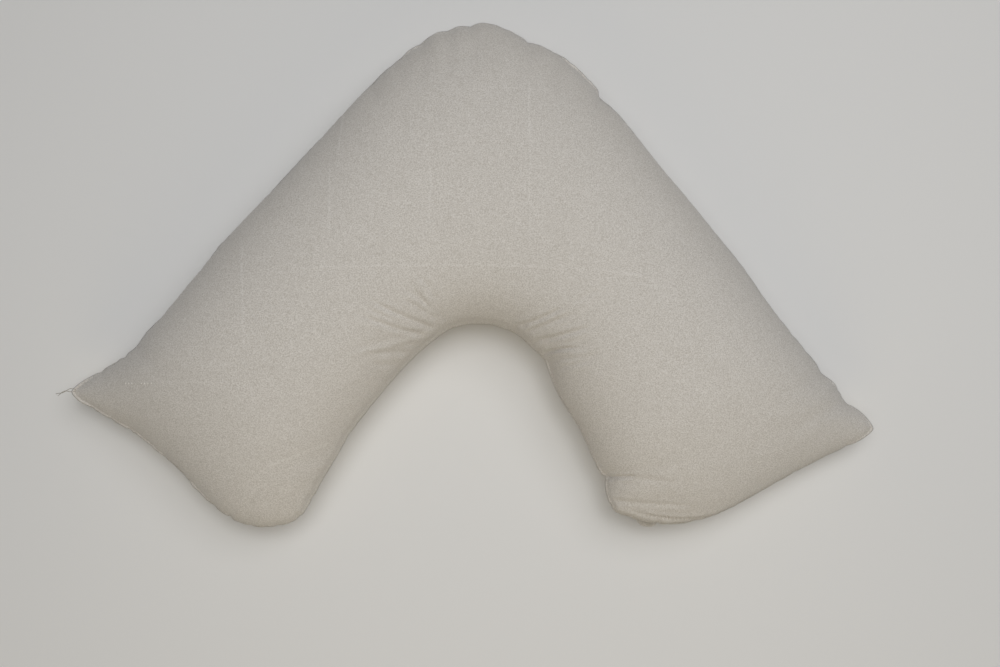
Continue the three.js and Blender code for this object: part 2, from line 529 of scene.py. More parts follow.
def tint(shader: bpy.types.Node, share: Value, low: tuple[float, ...], high: tuple[float, ...]) -> None:
    """Colours a shader between two colours.

    Args:
        shader: The shader.
        share: How far the colour is from low to high.
        low: The colour where the share is 0.
        high: The colour where it is 1.
    """
    # A Mix node has its two colours in sockets 6 and 7, and their mixture in output 2.
    inputs = {0: share, 6: (*low, 1.0), 7: (*high, 1.0)}
    mix = add_node(share.tree, "ShaderNodeMix", {"data_type": "RGBA"}, inputs)
    share.tree.links.new(mix.outputs[2], shader.inputs["Base Color"])


def emboss(shader: bpy.types.Node, height: Value, strength: float, distance: float) -> None:
    """Raises a shader's surface without moving it.

    Args:
        shader: The shader.
        height: How high each place is.
        strength: How much of the height shows, from 0 to 1.
        distance: The height's unit, in metres.
    """
    inputs = {"Strength": strength, "Distance": distance, "Height": height}
    bump = add_node(height.tree, "ShaderNodeBump", {}, inputs)
    height.tree.links.new(bump.outputs[0], shader.inputs["Normal"])


@dataclass(frozen=True)
class CottonFinish:
    """Matt off-white cotton in a fine plain weave, with slubs, a few pressed packing creases with a painted
    highlight along them, and a painted highlight on the sewn rim.
    """

    light: tuple[float, float, float] = (0.75, 0.716, 0.668)
    dark: tuple[float, float, float] = (0.55, 0.514, 0.462)
    roughness: float = 0.88
    sheen: float = 0.2
    thread_pitch: float = 0.00045
    weave_height: float = 0.00005
    nap_grain: float = 0.0016
    nap_height: float = 0.00022
    nap_tone: float = 1.4
    fleck_grain: float = 0.0011
    fleck_tone: float = 1.9
    mottle_scale: float = 55.0
    mottle_tone: float = 0.18
    slub_scales: tuple[float, float] = (130.0, 900.0)
    slub_tone: float = 0.4
    press_width: float = 0.0011
    press_height: float = 0.00008
    # How much paler the packing creases are made: a painted highlight, where their ridges would catch the
    # light.
    press_highlight_tone: float = 0.3
    press_fade: float = 0.012
    press_sway: float = 0.004
    press_sway_scale: float = 30.0
    press_nap_breakup: tuple[float, float] = (0.3, 0.62)
    # How much paler the sewn rim's lips are made: a painted highlight, as if the thin edge caught the
    # light.
    rim_highlight_tone: float = 0.6

    def make(self) -> bpy.types.Material:
        """Mixes the cotton's tone and relief.

        Returns:
            The material for the cover.
        """
        settings = {
            "Roughness": self.roughness,
            "Sheen Weight": self.sheen,
            "Sheen Roughness": 0.5,
            "Specular IOR Level": 0.25,
        }
        material, shader = new_material("cotton", settings)
        tree = material.node_tree
        place = add_node(tree, "ShaderNodeTexCoord").outputs["Object"]
        thread_map = add_node(tree, "ShaderNodeUVMap", {"uv_map": UV_NAME}).outputs[0]
        nap = noise(tree, place, 1.0 / self.nap_grain, detail=3.0)
        fleck = noise(tree, place, 1.0 / self.fleck_grain, detail=0.0)
        mottle = noise(tree, place, self.mottle_scale, detail=2.0)
        slub = self._slubs(tree, thread_map)
        press = self._presses(tree, place, nap)
        # The mark of the sewn rim's lips, where the painted highlight goes.
        mark = add_node(tree, "ShaderNodeAttribute", {"attribute_name": EDGE_NAME}).outputs["Fac"]
        grain = (nap - 0.5) * self.nap_tone + (fleck - 0.5) * self.fleck_tone
        tone = (
            0.5
            + grain
            + (mottle - 0.5) * self.mottle_tone
            + (slub - 0.5) * self.slub_tone
            # Painted highlight: the packing creases are made paler, where their ridges would catch the
            # light.
            + press * self.press_highlight_tone
            # Painted highlight: the sewn rim's lips are made paler, as if the thin edge caught the light.
            + Value(tree, mark) * self.rim_highlight_tone
        )
        tint(shader, tone, self.dark, self.light)
        height = (
            self._weave(tree, thread_map) * self.weave_height
            + nap * self.nap_height
            + slub * (0.5 * self.nap_height)
            + press * self.press_height
        )
        emboss(shader, height, strength=1.0, distance=1.0)
        return material

    def _slubs(self, tree: bpy.types.NodeTree, thread_map: bpy.types.NodeSocket) -> Value:
        """Makes the uneven thickness of the threads, drawn out along both thread directions.

        Args:
            tree: The material's tree.
            thread_map: The place on the cloth, in metres along both threads.

        Returns:
            The thickness, about 0.5.
        """
        along, across = self.slub_scales
        both = []
        for stretch in ((along, across, 1.0), (across, along, 1.0)):
            settings = {"operation": "MULTIPLY"}
            drawn_out = add_node(tree, "ShaderNodeVectorMath", settings, [thread_map, stretch])
            both.append(noise(tree, drawn_out.outputs[0], scale=1.0, detail=1.0))
        return (both[0] + both[1]) * 0.5

    def _weave(self, tree: bpy.types.NodeTree, thread_map: bpy.types.NodeSocket) -> Value:
        """Makes a plain weave's overs and unders.

        Args:
            tree: The material's tree.
            thread_map: The place on the cloth, in metres along both threads.

        Returns:
            The height, from 0 to 1.
        """
        split = add_node(tree, "ShaderNodeSeparateXYZ", {}, [thread_map])
        turn = math.pi / self.thread_pitch
        warp, weft = (Value(tree, split.outputs[axis]) * turn for axis in range(2))
        return warp.sine() * weft.sine() * 0.5 + 0.5

    def _presses(self, tree: bpy.types.NodeTree, place: bpy.types.NodeSocket, nap: Value) -> Value:
        """Marks the pressed packing creases, for their faint relief and their painted highlight.

        Args:
            tree: The material's tree.
            place: The place on the object, in metres.
            nap: The cloth's nap, which the creases show on in part.

        Returns:
            About 1 on the creases and 0 away from them.
        """
        split = add_node(tree, "ShaderNodeSeparateXYZ", {}, [place])
        x, y = (Value(tree, split.outputs[axis]) for axis in range(2))
        sway = (noise(tree, place, self.press_sway_scale, detail=1.0) - 0.5) * self.press_sway
        total: Any = 0.0
        for press in PRESSES:
            start = Vector((press.from_x, press.from_y)) * MM
            run = Vector((press.to_x, press.to_y)) * MM - start
            length = run.length
            run.normalize()
            along = (x - start.x) * run.x + (y - start.y) * run.y
            off = ((y - start.y) * run.x - (x - start.x) * run.y + sway).size()
            ends = along.ramp(0.0, self.press_fade) * (1.0 - along.ramp(length - self.press_fade, length))
            total = (1.0 - off.ramp(0.0, 2.0 * self.press_width)) * ends * press.strength + total
        return total * nap.ramp(*self.press_nap_breakup)


@dataclass(frozen=True)
class ThreadFinish:
    """Polyester sewing thread with a faint gloss."""

    name: str = "thread"
    colour: tuple[float, float, float] = (0.86, 0.835, 0.785)
    shade: tuple[float, float, float] = (0.78, 0.75, 0.69)
    ply_scale: float = 5000.0
    ply_strength: float = 0.4
    ply_height: float = 0.0001

    def make(self) -> bpy.types.Material:
        """Mixes the thread's tone and relief.

        Returns:
            The material for stitches and thread tails.
        """
        material, shader = new_material(self.name, {"Roughness": 0.55, "Specular IOR Level": 0.4})
        tree = material.node_tree
        place = add_node(tree, "ShaderNodeTexCoord").outputs["Object"]
        ply = noise(tree, place, self.ply_scale, detail=1.0)
        tint(shader, ply, self.shade, self.colour)
        emboss(shader, ply, self.ply_strength, self.ply_height)
        return material


@dataclass
class SeamLine:
    """The sewn edge all round the cover, as a closed loop of close points.

    Args:
        loop: One row of x, y, z in metres for each point, clockwise from the left tip.
    """

    loop: np.ndarray
    outward: np.ndarray = field(init=False)
    run: np.ndarray = field(init=False)
    length: float = field(init=False)
    tree: KDTree = field(init=False)

    def __post_init__(self) -> None:
        """Measures the loop."""
        self._measure()

    @classmethod
    def from_solid(cls, solid: bpy.types.Object, spacing: float, rounding: float) -> SeamLine:
        """Reads the edge where the solid's upper and lower faces meet.

        Args:
            solid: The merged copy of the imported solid.
            spacing: The distance between points of the new loop.
            rounding: How far the loop is smoothed along itself.

        Returns:
            The seam.
        """
        mesh = bmesh.new()
        mesh.from_mesh(solid.data)
        mesh.normal_update()
        mesh.verts.ensure_lookup_table()
        joined: dict[int, list[int]] = {}
        for edge in mesh.edges:
            ups = [one.normal.z > 0 for one in edge.link_faces]
            if len(ups) == 2 and ups[0] != ups[1]:
                first, second = (one.index for one in edge.verts)
                joined.setdefault(first, []).append(second)
                joined.setdefault(second, []).append(first)
        places = {number: tuple(mesh.verts[number].co) for number in joined}
        mesh.free()
        start = min(places, key=lambda number: places[number][0])
        order = [start, max(joined[start], key=lambda number: places[number][1])]
        while len(order) < len(places):
            order.append(next(number for number in joined[order[-1]] if number != order[-2]))
        return cls(cls._resampled(np.array([places[number] for number in order]), spacing, rounding))

    @staticmethod
    def _resampled(loop: np.ndarray, spacing: float, rounding: float) -> np.ndarray:
        """Smooths a closed loop along itself and spaces its points evenly.

        Args:
            loop: One row of x, y, z for each point.
            spacing: The distance between the new points.
            rounding: How far the loop is smoothed along itself.

        Returns:
            One row for each new point.
        """
        for step, width in ((MM, rounding), (spacing, 0.0)):
            closed = np.vstack([loop, loop[:1]])
            run = np.concatenate([[0.0], np.cumsum(np.linalg.norm(np.diff(closed, axis=0), axis=1))])
            steps = np.linspace(0.0, run[-1], int(round(run[-1] / step)), endpoint=False)
            loop = np.stack([np.interp(steps, run, closed[:, axis]) for axis in range(3)], axis=1)
            if width > 0.0:
                most = int(3 * width / step)
                shifts = np.arange(-most, most + 1)
                weights = bell(shifts * step, width)
                rolled = [weight * np.roll(loop, shift, axis=0) for weight, shift in zip(weights, shifts)]
                loop = sum(rolled) / weights.sum()
        return loop

    def _measure(self) -> None:
        """Works out the outward direction and the run at each point, and a search tree in plan."""
        ahead = np.roll(self.loop, -1, axis=0) - np.roll(self.loop, 1, axis=0)
        outward = np.stack([-ahead[:, 1], ahead[:, 0]], axis=1)
        self.outward = outward / np.linalg.norm(outward, axis=1)[:, None]
        steps = np.linalg.norm(np.roll(self.loop, -1, axis=0) - self.loop, axis=1)
        self.run = np.concatenate([[0.0], np.cumsum(steps)[:-1]])
        self.length = float(steps.sum())
        self.tree = KDTree(len(self.loop))
        for number, (x, y, _) in enumerate(self.loop):
            self.tree.insert((x, y, 0.0), number)
        self.tree.balance()

    def nearest(self, x: float, y: float) -> tuple[int, float]:
        """Returns the number of the nearest seam point in plan, and how far it is."""
        _, number, distance = self.tree.find((x, y, 0.0))
        return number, distance

    def gap(self, run: np.ndarray, other: float) -> np.ndarray:
        """Returns how far places along the seam are from another, the short way round."""
        apart = np.abs(run - other)
        return np.minimum(apart, self.length - apart)

    def draw_in(self, puckers: Sequence[Pucker]) -> None:
        """Moves the seam inward at each pucker.

        Args:
            puckers: The places and depths.
        """
        moves = np.zeros(len(self.loop))
        for pucker in puckers:
            number, _ = self.nearest(pucker.x * MM, pucker.y * MM)
            moves += pucker.depth * MM * bell(self.gap(self.run, self.run[number]), pucker.half_width * MM)
        self.loop[:, :2] -= self.outward * moves[:, None]
        self._measure()

    def small_puckers(self, seed: int) -> list[Pucker]:
        """Makes faint puckers all round, with uneven gaps.

        Args:
            seed: Where the numbers start, so that each run gives the same puckers.

        Returns:
            The puckers.
        """
        dice = np.random.default_rng(seed)
        found = []
        run = 0.0
        while run < self.length:
            number = int(np.searchsorted(self.run, run)) % len(self.loop)
            x, y, _ = self.loop[number] / MM
            found.append(Pucker(x, y, dice.uniform(*FAINT_DEPTHS), dice.uniform(*FAINT_WIDTHS)))
            run += dice.uniform(*FAINT_GAPS)
        return found


@dataclass
class Cover:
    """The cotton cover with its filling: two panels on one seam, swollen by cloth simulation."""

    finish: CottonFinish
    fine: float = 0.0032
    fine_reach: float = 0.06
    back_reach: float = 0.035
    seam_spacing: float = 0.0028
    seam_rounding: float = 0.0022
    first_row: float = 0.0016
    second_row: float = 0.0038
    row_clear: float = 0.8
    lattice_clear: float = 0.6
    even_rounds: int = 14
    pressure: float = 4.0
    frames: int = 22
    slack_reach: float = 0.03
    slack: float = 0.014
    most_move: float = 0.018
    wave_rounds: int = 60
    wrinkle_share: float = 0.3
    route_points: int = 33
    refine_rounds: int = 4
    crease_zones: tuple[float, ...] = (0.011, 0.005)
    crease_start: float = 0.003
    crease_fade: float = 0.6
    crease_reach: float = 5.0
    bank_off: float = 2.1
    bank_width: float = 1.1
    bank_height: float = 0.42
    furrow_share: float = 0.85
    furrow_reach: float = 0.012
    lip: float = 0.0009
    lip_rise: float = 0.6
    groove: float = 0.0014
    rim: float = 0.0017
    rim_reach: float = 0.005
    tuck_place: tuple[float, float] = (0.201, -0.288)
    tuck_push: float = 0.0116
    tuck_tail: float = 0.0125
    tuck_stop: float = 0.0105
    tuck_reach: float = 0.0075
    seed: int = 11
    seam: SeamLine = field(init=False)
    places: np.ndarray = field(init=False)
    triangles: np.ndarray = field(init=False)
    side: np.ndarray = field(init=False)
    puckers: list[Pucker] = field(init=False)

    def build(self, node: bpy.types.Object) -> bpy.types.Object:
        """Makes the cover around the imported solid.

        Args:
            node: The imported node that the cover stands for.

        Returns:
            The finished piece.
        """
        solid = self._merged_copy(node)
        self.seam = SeamLine.from_solid(solid, self.seam_spacing, self.seam_rounding)
        self.puckers = [*EDGE_PUCKERS, *self.seam.small_puckers(self.seed)]
        self.seam.draw_in(self.puckers)
        self.seam.draw_in(EDGE_SHIFTS)
        self._cut_panels(solid)
        bpy.data.objects.remove(solid)
        self._even_out()
        self._swell()
        for zone in self.crease_zones:
            self._refine(GATHERS, zone)
        self._furrow()
        self._draw_in_from_rim()
        self._push_tuck()
        self._crease(GATHERS)
        self._keep_off_floor()
        piece = self._sewn_piece()
        self._unwrap(piece)
        piece.data.materials.append(self.finish.make())
        return piece

    def _merged_copy(self, node: bpy.types.Object) -> bpy.types.Object:
        """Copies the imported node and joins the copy's loose triangles.

        Args:
            node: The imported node.

        Returns:
            The copy.
        """
        copy = bpy.data.objects.new("solid_copy", node.data.copy())
        bpy.context.scene.collection.objects.link(copy)
        mesh = bmesh.new()
        mesh.from_mesh(copy.data)
        bmesh.ops.remove_doubles(mesh, verts=mesh.verts, dist=MERGE_REACH)
        mesh.to_mesh(copy.data)
        mesh.free()
        return copy

    def _cut_panels(self, solid: bpy.types.Object) -> None:
        """Fills the seam's outline with triangles for both panels and lifts them on to the solid.

        Args:
            solid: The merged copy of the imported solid.
        """
        bare = BVHTree.FromObject(solid, bpy.context.evaluated_depsgraph_get())
        count = len(self.seam.loop)
        places = [self.seam.loop]
        triangles: list[tuple[int, ...]] = []
        sides = [np.zeros(count, dtype=int)]
        for side, reach in ((Side.FACE, self.fine_reach), (Side.BACK, self.back_reach)):
            plan, found = self._flat_panel(reach)
            base = sum(len(one) for one in places)
            heights = [self._height(bare, x, y, side) for x, y in plan[count:]]
            places.append(np.column_stack([plan[count:], heights]))
            sides.append(np.full(len(heights), side.value))
            for face in found:
                ring = tuple(number if number < count else number - count + base for number in face)
                triangles.append(ring if side is Side.FACE else ring[::-1])
        self.places = np.vstack(places)
        self.triangles = np.array(triangles)
        self.side = np.concatenate(sides)
        LOG.info("panels: %d seam points, %d triangles", count, len(self.triangles))

    def _flat_panel(self, fine_reach: float) -> tuple[np.ndarray, list[tuple[int, ...]]]:
        """Fills the seam's outline with points, close together near the seam.

        Args:
            fine_reach: How far from the seam the close points go.

        Returns:
            The plan points, the seam's first, and the triangles between them.
        """
        loop = self.seam.loop[:, :2]
        count = len(loop)
        spots = [tuple(one) for one in loop]
        for inset in (self.first_row, self.second_row):
            row = loop - self.seam.outward * inset
            clear = self.row_clear * inset
            spots += [tuple(one) for one in row if self.seam.nearest(*one)[1] > clear]
        low, high = loop.min(axis=0), loop.max(axis=0)
        rise = self.fine * math.sqrt(3.0) / 2.0
        keep_off = self.second_row + self.lattice_clear * self.fine
        for line in range(int((high[1] - low[1]) / rise) + 1):
            y = low[1] + line * rise
            across = self.fine * (np.arange(int((high[0] - low[0]) / self.fine) + 1) + 0.5 * (line % 2))
            for step in across[self._inside(low[0] + across, y)]:
                distance = self.seam.nearest(low[0] + step, y)[1]
                if distance > keep_off and (distance < fine_reach or self._on_coarse(step, line)):
                    spots.append((low[0] + step, y))
        edges = [(number, (number + 1) % count) for number in range(count)]
        found = delaunay_2d_cdt([Vector(spot) for spot in spots], edges, [], 1, SAME_SPOT)
        return np.array([tuple(spot) for spot in found[0]]), [tuple(face) for face in found[2]]

    def _inside(self, xs: np.ndarray, y: float) -> np.ndarray:
        """Finds which points of a level line lie inside the seam's outline.

        Args:
            xs: Where the points are along the line.
            y: Where the line is.

        Returns:
            True for each point inside.
        """
        first = self.seam.loop[:, :2]
        second = np.roll(first, -1, axis=0)
        crossing = (first[:, 1] > y) != (second[:, 1] > y)
        start, end = first[crossing], second[crossing]
        cuts = start[:, 0] + (y - start[:, 1]) * (end[:, 0] - start[:, 0]) / (end[:, 1] - start[:, 1])
        return (xs[:, None] > cuts[None, :]).sum(axis=1) % 2 == 1

    def _on_coarse(self, across: float, line: int) -> bool:
        """Returns whether a lattice point belongs to the lattice of twice the spacing too."""
        return line % 2 == 0 and int(round(across / self.fine)) % 2 == (line // 2) % 2

    def _height(self, bare: BVHTree, x: float, y: float, side: Side) -> float:
        """Measures one side of the solid over a plan point.

        Args:
            bare: The solid.
            x: The point's place across.
            y: The point's place along.
            side: The side of the solid.

        Returns:
            The height there, or the seam's where the solid is missed.
        """
        hit = bare.ray_cast(Vector((x, y, side.value)), Vector((0.0, 0.0, -side.value)))
        if hit[0] is None:
            return float(self.seam.loop[self.seam.nearest(x, y)[0], 2])
        return float(hit[0].z)

    def _free_share(self) -> np.ndarray:
        """Returns 0 on the seam and 1 on the panels."""
        return (self.side != 0).astype(float)

    def _keep_off_floor(self) -> None:
        """Keeps the back level where it would go below the resting plane."""
        self.places[:, 2] = np.maximum(self.places[:, 2], 0.0)

    def _even_out(self) -> None:
        """Smooths the solid's facets away, with the seam held still and the back kept level."""
        self.places = smoothed(self.places, self.triangles, self._free_share(), self.even_rounds)
        self._keep_off_floor()

    def _swell(self) -> None:
        """Swells the cover by cloth simulation, with its seam held still."""
        piece = new_piece("swelling", self.places, self.triangles)
        held = piece.vertex_groups.new(name="held")
        held.add(list(range(len(self.seam.loop))), 1.0, "REPLACE")
        tight = piece.vertex_groups.new(name="tight")
        distances = np.array([self.seam.nearest(x, y)[1] for x, y, _ in self.places])
        for number, weight in enumerate(smooth_step(0.0, self.slack_reach, distances)):
            tight.add([number], float(weight), "REPLACE")
        cloth = piece.modifiers.new("swell", "CLOTH")
        settings = cloth.settings
        settings.quality = 5
        settings.mass = 0.3
        settings.tension_stiffness = 15.0
        settings.compression_stiffness = 15.0
        settings.shear_stiffness = 5.0
        settings.bending_stiffness = 0.5
        settings.use_pressure = True
        settings.uniform_pressure_force = self.pressure
        settings.vertex_group_mass = held.name
        settings.vertex_group_shrink = tight.name
        settings.shrink_min = -self.slack
        settings.shrink_max = 0.0
        settings.effector_weights.gravity = 0.0
        cloth.collision_settings.use_collision = False
        cloth.collision_settings.use_self_collision = False
        scene = bpy.context.scene
        for number in range(1, self.frames + 1):
            scene.frame_set(number)
        make_active(piece)
        bpy.ops.object.modifier_apply(modifier=cloth.name)
        scene.frame_set(1)
        move = mesh_places(piece.data) - self.places
        length = np.linalg.norm(move, axis=1)
        LOG.info("swell: mean move %.1f mm, most %.1f mm", length.mean() / MM, length.max() / MM)
        move *= np.minimum(1.0, self.most_move / np.maximum(length, TINY))[:, None]
        wave = smoothed(move, self.triangles, self._free_share(), self.wave_rounds, (0.5,))
        self.places = self.places + wave + (move - wave) * self.wrinkle_share
        self._keep_off_floor()
        bpy.data.objects.remove(piece)

    def _route(self, crease: Crease) -> np.ndarray:
        """Follows a crease in plan.

        Args:
            crease: The crease.

        Returns:
            Close points along it, in metres.
        """
        start = np.array([crease.from_x, crease.from_y])
        end = np.array([crease.to_x, crease.to_y])
        across = np.array([start[1] - end[1], end[0] - start[0]])
        middle = (start + end) / 2.0 + across / np.linalg.norm(across) * crease.bend * 2.0
        share = np.linspace(0.0, 1.0, self.route_points)[:, None]
        return ((1 - share) ** 2 * start + 2 * share * (1 - share) * middle + share**2 * end) * MM

    def _beside(self, route: np.ndarray, reach: float) -> tuple[np.ndarray, np.ndarray, np.ndarray]:
        """Finds the points of the face near a route.

        Args:
            route: Plan points along the route.
            reach: How far a point may be from it.

        Returns:
            The points' numbers, their distance and how far along the route they are, from 0 to 1.
        """
        near = self.side != Side.BACK.value
        for axis in range(2):
            near &= self.places[:, axis] > route[:, axis].min() - reach
            near &= self.places[:, axis] < route[:, axis].max() + reach
        numbers = np.nonzero(near)[0]
        apart = np.linalg.norm(self.places[numbers, None, :2] - route[None, :, :], axis=2)
        distance = apart.min(axis=1)
        close = distance < reach
        return numbers[close], distance[close], apart.argmin(axis=1)[close] / (len(route) - 1)

    def _refine(self, creases: Sequence[Crease], zone: float) -> None:
        """Halves the triangles near the creases and evens the new points out.

        Args:
            creases: The creases of the face.
            zone: How far from a crease the triangles are halved.
        """
        chosen = np.zeros(len(self.places), dtype=bool)
        for crease in creases:
            chosen[self._beside(self._route(crease), zone)[0]] = True
        chosen[self.side == 0] = False
        mesh = bmesh.new()
        for place in self.places:
            mesh.verts.new(place)
        mesh.verts.ensure_lookup_table()
        mesh.verts.index_update()
        for face in self.triangles:
            mesh.faces.new([mesh.verts[number] for number in face])
        before = len(self.places)
        edges = [edge for edge in mesh.edges if all(chosen[one.index] for one in edge.verts)]
        bmesh.ops.subdivide_edges(mesh, edges=edges, cuts=1, use_grid_fill=True)
        bmesh.ops.triangulate(mesh, faces=mesh.faces)
        mesh.verts.index_update()
        self.places = np.array([tuple(one.co) for one in mesh.verts])
        self.triangles = np.array([[one.index for one in face.verts] for face in mesh.faces])
        mesh.free()
        added = len(self.places) - before
        self.side = np.concatenate([self.side, np.full(added, Side.FACE.value)])
        share = np.concatenate([chosen.astype(float), np.ones(added)])
        self.places = smoothed(self.places, self.triangles, share, self.refine_rounds)
        LOG.info("refined: %d points more, %d triangles in all", added, len(self.triangles))

    def _by_seam(self, numbers: np.ndarray | None = None) -> tuple[np.ndarray, np.ndarray]:
        """Finds the nearest seam point of each of the cover's points.

        Args:
            numbers: The numbers of the points, or nothing for all of them.

        Returns:
            The numbers of the seam points, and how far each is.
        """
        chosen = self.places if numbers is None else self.places[numbers]
        found = [self.seam.nearest(x, y) for x, y, _ in chosen]
        return np.array([number for number, _ in found]), np.array([distance for _, distance in found])

    def _furrow(self) -> None:
        """Runs a short furrow from each pucker on to both panels."""
        nearest, distance = self._by_seam()
        run = self.seam.run[nearest]
        sunk = np.zeros(len(self.places))
        fade = np.exp(-distance / self.furrow_reach) * (1.0 - np.exp(-distance / self.first_row))
        for pucker in self.puckers:
            number, _ = self.seam.nearest(pucker.x * MM, pucker.y * MM)
            apart = self.seam.gap(run, self.seam.run[number])
            width = pucker.half_width * MM * (1.0 + distance / (2.0 * self.furrow_reach))
            sunk += pucker.depth * MM * self.furrow_share * bell(apart, width) * fade
        normals = surface_normals(self.places, self.triangles)
        self.places -= normals * (sunk * self._free_share())[:, None]

    def _push_tuck(self) -> None:
        """Lets a short roll of the back panel stand out past the seam under the right foot."""
        nearest, distance = self._by_seam()
        middle, _ = self.seam.nearest(*self.tuck_place)
        apart = self.seam.gap(self.seam.run[nearest], self.seam.run[middle])
        inward = self.places[:, 0] < self.tuck_place[0]
        along = np.exp(-((apart / np.where(inward, self.tuck_tail, self.tuck_stop)) ** 4))
        across = distance / self.tuck_reach * np.exp(1.0 - distance / self.tuck_reach)
        push = self.tuck_push * along * across * (self.side == Side.BACK.value)
        self.places[:, :2] += self.seam.outward[nearest] * push[:, None]

    def _crease(self, creases: Sequence[Crease]) -> None:
        """Presses the creases into the face, with the cloth standing up a little on both sides.

        Args:
            creases: The creases of the face.
        """
        normals = surface_normals(self.places, self.triangles)
        lift = np.zeros(len(self.places))
        for crease in creases:
            width = crease.half_width * MM
            numbers, distance, along = self._beside(self._route(crease), self.crease_reach * width)
            trough = bell(distance, width)
            banks = bell(distance - self.bank_off * width, self.bank_width * width)
            fade = smooth_step(0.0, crease.onset, along)
            fade *= 1.0 - smooth_step(self.crease_fade, 1.0, along)
            start = 1.0 - np.exp(-self._by_seam(numbers)[1] / self.crease_start)
            lift[numbers] += crease.depth * MM * fade * start * (self.bank_height * banks - trough)
        self.places += normals * (lift * self._free_share())[:, None]

    def _draw_in_from_rim(self) -> None:
        """Keeps both panels inside the sewn edge, so that it stands out from them as a thin rim."""
        nearest, _ = self._by_seam()
        out = self.seam.outward[nearest]
        beyond = ((self.places[:, :2] - self.seam.loop[nearest, :2]) * out).sum(axis=1) + self.rim_reach
        room = self.rim_reach - self.rim
        drawn = np.where(beyond > 0.0, beyond - room * (1.0 - np.exp(-beyond / room)), 0.0)
        drawn[: len(self.seam.loop)] = 0.0
        self.places[:, :2] -= out * drawn[:, None]

    def _sewn_piece(self) -> bpy.types.Object:
        """Turns the seam into a thin rim of two lips with a narrow groove between, and makes the piece.

        Returns:
            The cover as an object, with the groove's bottom marked as its seam and the rim's lips marked
            for a painted highlight.
        """
        count = len(self.seam.loop)
        out = np.column_stack([self.seam.outward, np.zeros(count)])
        up = np.array([0.0, 0.0, 1.0])
        bottom = self.places[:count] - out * self.groove
        rings = [bottom]
        for height in (self.lip, -self.lip):
            lip = self.places[:count] + up * height
            rings += [lip - out * self.rim + up * (self.lip_rise * height), lip]
        base = len(self.places)
        places = np.vstack([bottom, self.places[count:], *rings[1:]])
        sides = {Side.FACE: base, Side.BACK: base + 2 * count}
        faces = []
        for face in self.triangles:
            side = self._side_of(face)
            faces.append([number if number >= count else number + sides[side] for number in face])
        for number in range(count):
            ahead = (number + 1) % count
            over, under = sides[Side.FACE], sides[Side.BACK]
            faces.append([number + over, ahead + over, ahead + over + count, number + over + count])
            faces.append([number + over + count, ahead + over + count, ahead, number])
            faces.append([ahead, ahead + under + count, number + under + count, number])
            faces.append([ahead + under + count, ahead + under, number + under, number + under + count])
        piece = new_piece("cover", places, faces)
        for edge in piece.data.edges:
            edge.use_seam = edge.vertices[0] < count and edge.vertices[1] < count
        # The rim's lips are marked for a painted highlight: the cotton is made paler there, where the thin
        # edge would catch the light.
        rim_highlight_mask = np.zeros(len(places))
        for start in sides.values():
            rim_highlight_mask[start + count : start + 2 * count] = 1.0
        mark = piece.data.attributes.new(EDGE_NAME, "FLOAT", "POINT")
        mark.data.foreach_set("value", rim_highlight_mask)
        make_active(piece)
        bpy.ops.object.shade_smooth()
        return piece

    def _side_of(self, face: np.ndarray) -> Side:
        """Finds a triangle's panel, by the way it turns where all its corners are on the seam.

        Args:
            face: The vertex numbers of the triangle.

        Returns:
            The panel.
        """
        panels = set(self.side[face].tolist()) - {0}
        if panels:
            return Side(panels.pop())
        first, second, third = self.places[face, :2]
        ahead, aside = second - first, third - first
        turn = ahead[0] * aside[1] - ahead[1] * aside[0]
        return Side.FACE if turn > 0 else Side.BACK

    def _unwrap(self, piece: bpy.types.Object) -> None:
        """Lays both panels out flat, in metres, with the threads along and across the V.

        Args:
            piece: The cover.
        """
        piece.data.uv_layers.new(name=UV_NAME)
        make_active(piece)
        bpy.ops.object.mode_set(mode="EDIT")
        bpy.ops.mesh.select_all(action="SELECT")
        bpy.ops.mesh.normals_make_consistent(inside=False)
        bpy.ops.uv.unwrap(method="CONFORMAL", margin=0.0)
        bpy.ops.object.mode_set(mode="OBJECT")
        mesh = piece.data
        corners = np.empty(len(mesh.loops), dtype=np.int32)
        mesh.loops.foreach_get("vertex_index", corners)
        flat = np.empty(len(mesh.loops) * 2)
        mesh.uv_layers[UV_NAME].data.foreach_get("uv", flat)
        flat = flat.reshape(-1, 2)
        plan = mesh_places(mesh)[corners, :2]
        totals = np.empty(len(mesh.polygons), dtype=np.int32)
        mesh.polygons.foreach_get("loop_total", totals)
        normals = np.empty(len(mesh.polygons) * 3)
        mesh.polygons.foreach_get("normal", normals)
        upward = np.repeat(normals.reshape(-1, 3)[:, 2] > 0, totals)
        for panel in (upward, ~upward):
            self._fit_flat(flat, plan, panel)
        mesh.uv_layers[UV_NAME].data.foreach_set("uv", flat.ravel())

    def _fit_flat(self, flat: np.ndarray, plan: np.ndarray, panel: np.ndarray) -> None:
        """Turns and scales one panel's flat layout to fit its plan.

        Args:
            flat: The layout of every corner, changed in place.
            plan: The plan place of every corner.
            panel: Which corners belong to the panel.
        """
        ours = flat[panel] - flat[panel].mean(axis=0)
        theirs = plan[panel] - plan[panel].mean(axis=0)
        left, scales, right = np.linalg.svd(ours.T @ theirs)
        flat[panel] = ours @ left @ right * (scales.sum() / (ours**2).sum())


